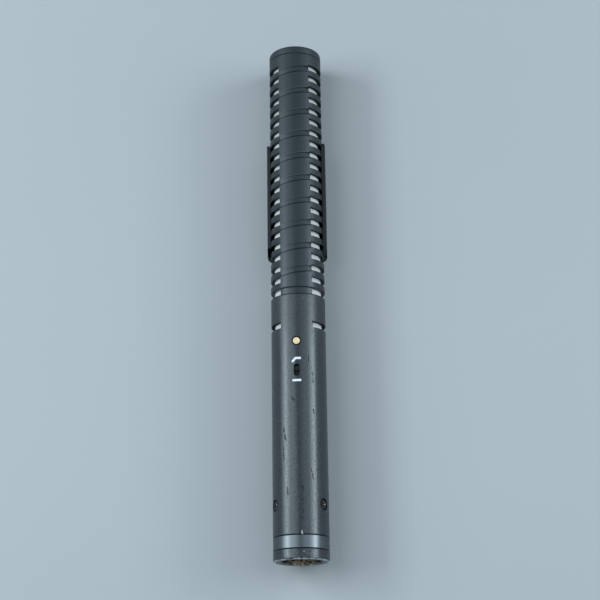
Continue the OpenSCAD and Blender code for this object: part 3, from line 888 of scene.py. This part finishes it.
class MIC_OT_electronics(bpy.types.Operator):
    """Finish the circuit board, its parts and the two bulkheads"""

    bl_idname = "microphone.electronics"
    bl_label = "Electronics"

    def execute(self, context):
        self.board()
        self.casings()
        self.resistors()
        return {"FINISHED"}

    def board(self):
        """Green solder mask with darker tracks and silvery pads."""
        finish = Finish("board_green", {})
        x, y, _ = finish.axes()
        across = x / MM
        along = y / MM
        tracks = ((across * 2.4).sine() * (along * 0.35).sine()).rise(0.2, 0.35)
        pads = ((across * 2.5).sine() * (along * 1.9).sine()).rise(0.86, 0.92)
        base = finish.mix(tracks * 0.5, (0.010, 0.072, 0.030), (0.020, 0.13, 0.055))
        finish.set(
            {
                "Base Color": finish.mix(pads, base, (0.55, 0.56, 0.55)),
                "Metallic": pads,
                "Roughness": 0.36 + finish.noise(2.0) * 0.1,
            }
        )
        finish.bump(tracks * 0.4 + pads, 0.03)
        finish.to("circuit_board")

    def casings(self):
        """Moulded or dipped casings with a soft mottle."""
        for name, colours, roughness, *nodes in (
            (
                "capacitor_blue",
                ((0.012, 0.020, 0.075), (0.028, 0.042, 0.13)),
                0.32,
                "electrolytic_capacitors",
            ),
            (
                "capacitor_red",
                ((0.36, 0.025, 0.014), (0.52, 0.05, 0.028)),
                0.3,
                "film_capacitors",
            ),
            (
                "epoxy_black",
                ((0.008, 0.008, 0.009), (0.022, 0.022, 0.024)),
                0.55,
                "transistors",
            ),
            (
                "bulkhead_black",
                ((0.010, 0.010, 0.011), (0.026, 0.026, 0.028)),
                0.5,
                "rear_bulkhead",
                "front_bulkhead",
            ),
        ):
            mottled(name, colours, 1.4, (roughness, 0.12), 0.5, 0.01, *nodes)

    def resistors(self):
        """Tan bodies with colour bands across them and bright legs."""
        finish = Finish("resistor_tan", {})
        across = finish.axes()[0] / MM
        leg = abs(across).rise(2.25, 2.35)
        band = ((across + 0.25) * 5.2).sine().rise(0.75, 0.85) * abs(across).fall(1.7, 1.75)
        hue = finish.mix(across.rise(-0.4, -0.3), (0.35, 0.03, 0.01), (0.02, 0.016, 0.012))
        base = finish.mix(finish.noise(1.0, 3) * 0.6, (0.58, 0.42, 0.24), (0.45, 0.31, 0.17))
        base = finish.mix(band, base, hue)
        finish.set(
            {
                "Base Color": finish.mix(leg, base, (0.6, 0.6, 0.6)),
                "Metallic": leg,
                "Roughness": 0.4 - leg * 0.12,
            }
        )
        finish.bump(finish.noise(0.4), 0.008)
        finish.to("resistors")


class MIC_OT_capsule(bpy.types.Operator):
    """Finish the pieces of the capsule"""

    bl_idname = "microphone.capsule"
    bl_label = "Capsule"

    def execute(self, context):
        nickel = ((0.55, 0.54, 0.49), (0.68, 0.66, 0.60))
        self.turned(
            "capsule_nickel", nickel, 0.26, "capsule_housing", "clamp_ring", "retaining_ring"
        )
        brass = ((0.72, 0.50, 0.20), (0.83, 0.63, 0.32))
        self.turned("capsule_brass", brass, 0.3, "backplate", "diaphragm_ring")
        self.film()
        self.mouldings()
        return {"FINISHED"}

    def turned(self, name, colours, roughness, *nodes):
        """Lathe-turned metal with fine rings."""
        finish = Finish(name, {"Metallic": 1.0})
        _, station, radius = finish.round_axis()
        lines = finish.streaks(station * 5.0, radius * 5.0, 0.0, detail=2)
        finish.set(
            {"Base Color": finish.mix(lines, *colours), "Roughness": roughness + lines * 0.16}
        )
        finish.bump(lines, 0.005)
        finish.to(*nodes)

    def film(self):
        """Gold-coated film, very slightly rippled."""
        finish = Finish("film_gold", {"Metallic": 1.0})
        ripple = finish.noise(3.0, 2)
        finish.set(
            {
                "Base Color": finish.mix(ripple, (0.82, 0.62, 0.30), (0.90, 0.74, 0.44)),
                "Roughness": 0.12 + ripple * 0.1,
            }
        )
        finish.bump(ripple, 0.02)
        finish.to("diaphragm")

    def mouldings(self):
        """Cream moulding of the insulator and the spacer."""
        cream = ((0.72, 0.68, 0.56), (0.80, 0.77, 0.67))
        nodes = ("capsule_insulator", "spacer_ring")
        mottled("moulded_cream", cream, 1.5, (0.4, 0.12), 0.4, 0.01, *nodes)


class MIC_OT_cloths(bpy.types.Operator):
    """Give the acoustic cloths their weave"""

    bl_idname = "microphone.cloths"
    bl_label = "Cloths"

    def execute(self, context):
        self.sleeve(context.scene.mic_cloth)
        self.disc()
        return {"FINISHED"}

    def sleeve(self, cloth):
        """Plain weave wrapped round the axis: the product of two sine waves across the threads."""
        finish = Finish("cloth_cream", {"Sheen Weight": 0.3, "Sheen Roughness": 0.5})
        turn, station, _ = finish.round_axis()
        # Radius of the cloth, and radians of the weave in a millimetre
        cloth_r = 9.4
        rate = 9.0
        weave = (turn * cloth_r * rate).sine() * (station * rate).sine() * 0.5 + 0.5
        slub = finish.noise(1.6, 3)
        thread = finish.mix(station.rise(140.0, 205.0), cloth.rear_colour, cloth.front_colour)
        finish.set(
            {
                "Base Color": finish.mix(weave * 0.5 + slub * 0.35, thread, cloth.gap_colour),
                "Roughness": 0.85 + slub * 0.1,
            }
        )
        finish.bump(weave + slub * 0.5, 0.03)
        finish.to("rear_cloth", "acoustic_cloth")

    def disc(self):
        """Black weave of the nose cloth."""
        finish = Finish("cloth_black", {"Sheen Weight": 0.3, "Sheen Roughness": 0.5})
        x, _, z = finish.axes()
        # Radians of the weave in a millimetre
        rate = 12.0
        weave = (x / MM * rate).sine() * (z / MM * rate).sine() * 0.5 + 0.5
        finish.set(
            {
                "Base Color": finish.mix(weave, (0.008, 0.008, 0.009), (0.03, 0.03, 0.032)),
                "Roughness": 0.9 + weave * 0.05,
            }
        )
        finish.bump(weave, 0.03)
        finish.to("nose_cloth")


class MIC_OT_grille(bpy.types.Operator):
    """Weave the wire grille in the nose"""

    bl_idname = "microphone.grille"
    bl_label = "Nose grille"

    def execute(self, context):
        size = context.scene.mic_grille
        low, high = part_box("nose_grille")
        radius = (high.x - low.x) / 2 - size.wire * MM
        points, quads, caps = woven_wires(
            radius, size.pitch * MM, size.wire * MM, size.sides, size.steps
        )
        turned_points = (points * (1, -1, 1))[:, [2, 1, 0]]
        every_point = np.concatenate([points, turned_points]) + np.array((low + high) / 2)
        faces = [
            face
            for start in (0, len(points))
            for group in (quads, caps)
            for face in (group + start).tolist()
        ]
        grille = mesh_object("woven_grille", every_point, faces)
        face_outwards(grille)
        grille.data.materials.append(self.blackened_wire())
        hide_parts("nose_grille")
        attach(grille, "microphone")
        return {"FINISHED"}

    def blackened_wire(self):
        """Blackened wire, worn bright on its high spots."""
        finish = Finish("grille_wire", {"Metallic": 0.7})
        wear = finish.noise(1.5, 3).rise(0.55, 0.75)
        finish.set(
            {
                "Base Color": finish.mix(wear * 0.5, (0.022, 0.024, 0.026), (0.12, 0.125, 0.13)),
                "Roughness": 0.38 + wear * 0.1,
            }
        )
        finish.bump(finish.noise(0.15), 0.003)
        return finish.material


class MIC_OT_clip(bpy.types.Operator):
    """Dress the spring clip with rounded edges and a moulded finish"""

    bl_idname = "microphone.clip"
    bl_label = "Spring clip"

    def execute(self, context):
        settings = context.scene.mic_clip
        clip = merged_copy("moulded_clip", "snap_clip")
        clip.data.shade_smooth()
        edge = clip.modifiers.new("Rounded edges", "BEVEL")
        edge.width = settings.edge_radius * MM
        edge.segments = 2
        edge.limit_method = "ANGLE"
        edge.angle_limit = math.radians(40)
        edge.harden_normals = True
        clip.data.materials.clear()
        clip.data.materials.append(self.moulded_black(settings))
        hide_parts("snap_clip")
        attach(clip, "clip")
        return {"FINISHED"}

    def moulded_black(self, settings):
        """Dull black plastic with a fine grain and faint streams."""
        finish = Finish("clip_black", {"Specular IOR Level": 0.32})
        grain = finish.noise(0.35, 2)
        flow = finish.noise(8, 3)
        pale = flow * 0.4 + grain * 0.2
        finish.set(
            {
                "Base Color": finish.mix(pale, settings.plastic_colour, settings.flow_colour),
                "Roughness": 0.52 + (flow - 0.5) * 0.1,
            }
        )
        finish.bump(grain, 0.012)
        return finish.material


class MIC_OT_stage(bpy.types.Operator):
    """Set up the floor, the soft boxes, the room and the camera"""

    bl_idname = "microphone.stage"
    bl_label = "Stage"

    def execute(self, context):
        studio = context.scene.mic_studio
        self.floor(studio)
        self.lamps(studio)
        self.room(studio)
        self.camera(studio)
        context.scene.view_settings.view_transform = "Standard"
        return {"FINISHED"}

    def floor(self, studio):
        """Flat square of pale blue-grey board under the clip, with painted shade that darkens it a
        little past the nose.
        """
        half = 3.0
        corners = np.array([(-half, -half, 0), (half, -half, 0), (half, half, 0), (-half, half, 0)])
        floor = mesh_object("floor", corners, [(0, 1, 2, 3)])
        finish = Finish("floor_board", {"Specular IOR Level": 0.25})
        cloud = finish.noise(60, 3)
        # Painted shade: the floor darkens past the nose, as the lamps' light falls off there
        falloff_shade = finish.axes()[1].rise(-studio.fade_reach, studio.fade_reach)
        base = finish.mix(cloud * 0.25, studio.floor_colour, studio.floor_cloud)
        finish.set(
            {
                "Base Color": finish.mix(falloff_shade * studio.floor_fade, base, (0.0, 0.0, 0.0)),
                "Roughness": 0.75 + finish.noise(2.0, 3) * 0.1,
            }
        )
        finish.bump(finish.noise(1.5, 4), 0.02)
        floor.data.materials.append(finish.material)

    def lamps(self, studio):
        """A soft box with a wide dimmer halo on each side, and two ceiling panels."""
        for name, lean, box_widths in (
            ("left_box", studio.left_angle, 1),
            ("left_halo", studio.left_angle, 3),
            ("right_box", studio.right_angle, 1),
            ("right_halo", studio.right_halo_angle, 2),
            ("left_panel", studio.left_panel_angle, 2),
            ("right_panel", studio.right_panel_angle, 3),
        ):
            self.lamp(name, studio, lean, box_widths * studio.box_width)

    def lamp(self, name, studio, lean, width):
        """Area lamp that leans from overhead and faces the microphone.

        Its power is pi times its area times its brightness.
        """
        light = bpy.data.lights.new(name, "AREA")
        light.shape = "RECTANGLE"
        light.size = width
        light.size_y = studio.lamp_length
        light.energy = math.pi * width * studio.lamp_length * getattr(studio, name)
        light.color = studio.lamp_colour
        away = Vector((math.sin(lean), 0, math.cos(lean))) * studio.lamp_distance
        middle = Vector((0, studio.lamp_forward, AXIS_Z))
        turned = Matrix.Rotation(lean, 4, "Y")
        linked(name, light).matrix_world = Matrix.Translation(middle + away) @ turned

    def room(self, studio):
        """Even room light, and the room's full colour where the camera, metal or glass sees it."""
        world = bpy.data.worlds.new("room")
        world.use_nodes = True
        bpy.context.scene.world = world
        tree = world.node_tree
        background = tree.nodes["Background"]
        background.inputs["Color"].default_value = tuple(studio.room_colour) + (1.0,)
        seen = tree.nodes.new("ShaderNodeLightPath")
        shown = seen.outputs["Is Camera Ray"]
        for ray in ("Is Glossy Ray", "Is Transmission Ray"):
            either = tree.nodes.new("ShaderNodeMath")
            either.operation = "MAXIMUM"
            tree.links.new(shown, either.inputs[0])
            tree.links.new(seen.outputs[ray], either.inputs[1])
            shown = either.outputs[0]
        strength = tree.nodes.new("ShaderNodeMapRange")
        strength.inputs["To Min"].default_value = studio.ambient
        strength.inputs["To Max"].default_value = 1.0
        tree.links.new(shown, strength.inputs["Value"])
        tree.links.new(strength.outputs["Result"], background.inputs["Strength"])

    def camera(self, studio):
        view = bpy.data.cameras.new("camera")
        view.lens = studio.lens
        view.clip_start = 0.01
        camera = linked("camera", view)
        camera.location = studio.camera_at
        camera.rotation_euler = studio.camera_turn
        bpy.context.scene.camera = camera


OPERATORS = (
    MIC_OT_stage,
    MIC_OT_tubes,
    MIC_OT_connector,
    MIC_OT_switch,
    MIC_OT_electronics,
    MIC_OT_capsule,
    MIC_OT_cloths,
    MIC_OT_grille,
    MIC_OT_clip,
)


class MIC_PT_panel(bpy.types.Panel):
    """Settings and steps of the microphone's looks"""

    bl_idname = "MIC_PT_panel"
    bl_label = "Short shotgun microphone"
    bl_space_type = "VIEW_3D"
    bl_region_type = "UI"
    bl_category = "Microphone"

    def draw(self, context):
        for name, settings in SETTINGS.items():
            box = self.layout.box()
            box.label(text=settings.__doc__)
            for prop in settings.__annotations__:
                box.prop(getattr(context.scene, name), prop)
        for operator in OPERATORS:
            self.layout.operator(operator.bl_idname)


CLASSES = (*SETTINGS.values(), *OPERATORS, MIC_PT_panel)


def register():
    for cls in CLASSES:
        bpy.utils.register_class(cls)
    for name, settings in SETTINGS.items():
        setattr(bpy.types.Scene, name, PointerProperty(type=settings))


def unregister():
    for name in SETTINGS:
        delattr(bpy.types.Scene, name)
    for cls in reversed(CLASSES):
        bpy.utils.unregister_class(cls)


def main():
    """Dresses the frame."""
    register()
    for operator in OPERATORS:
        group, step = operator.bl_idname.split(".")
        getattr(getattr(bpy.ops, group), step)()


if __name__ == "__main__":
    main()
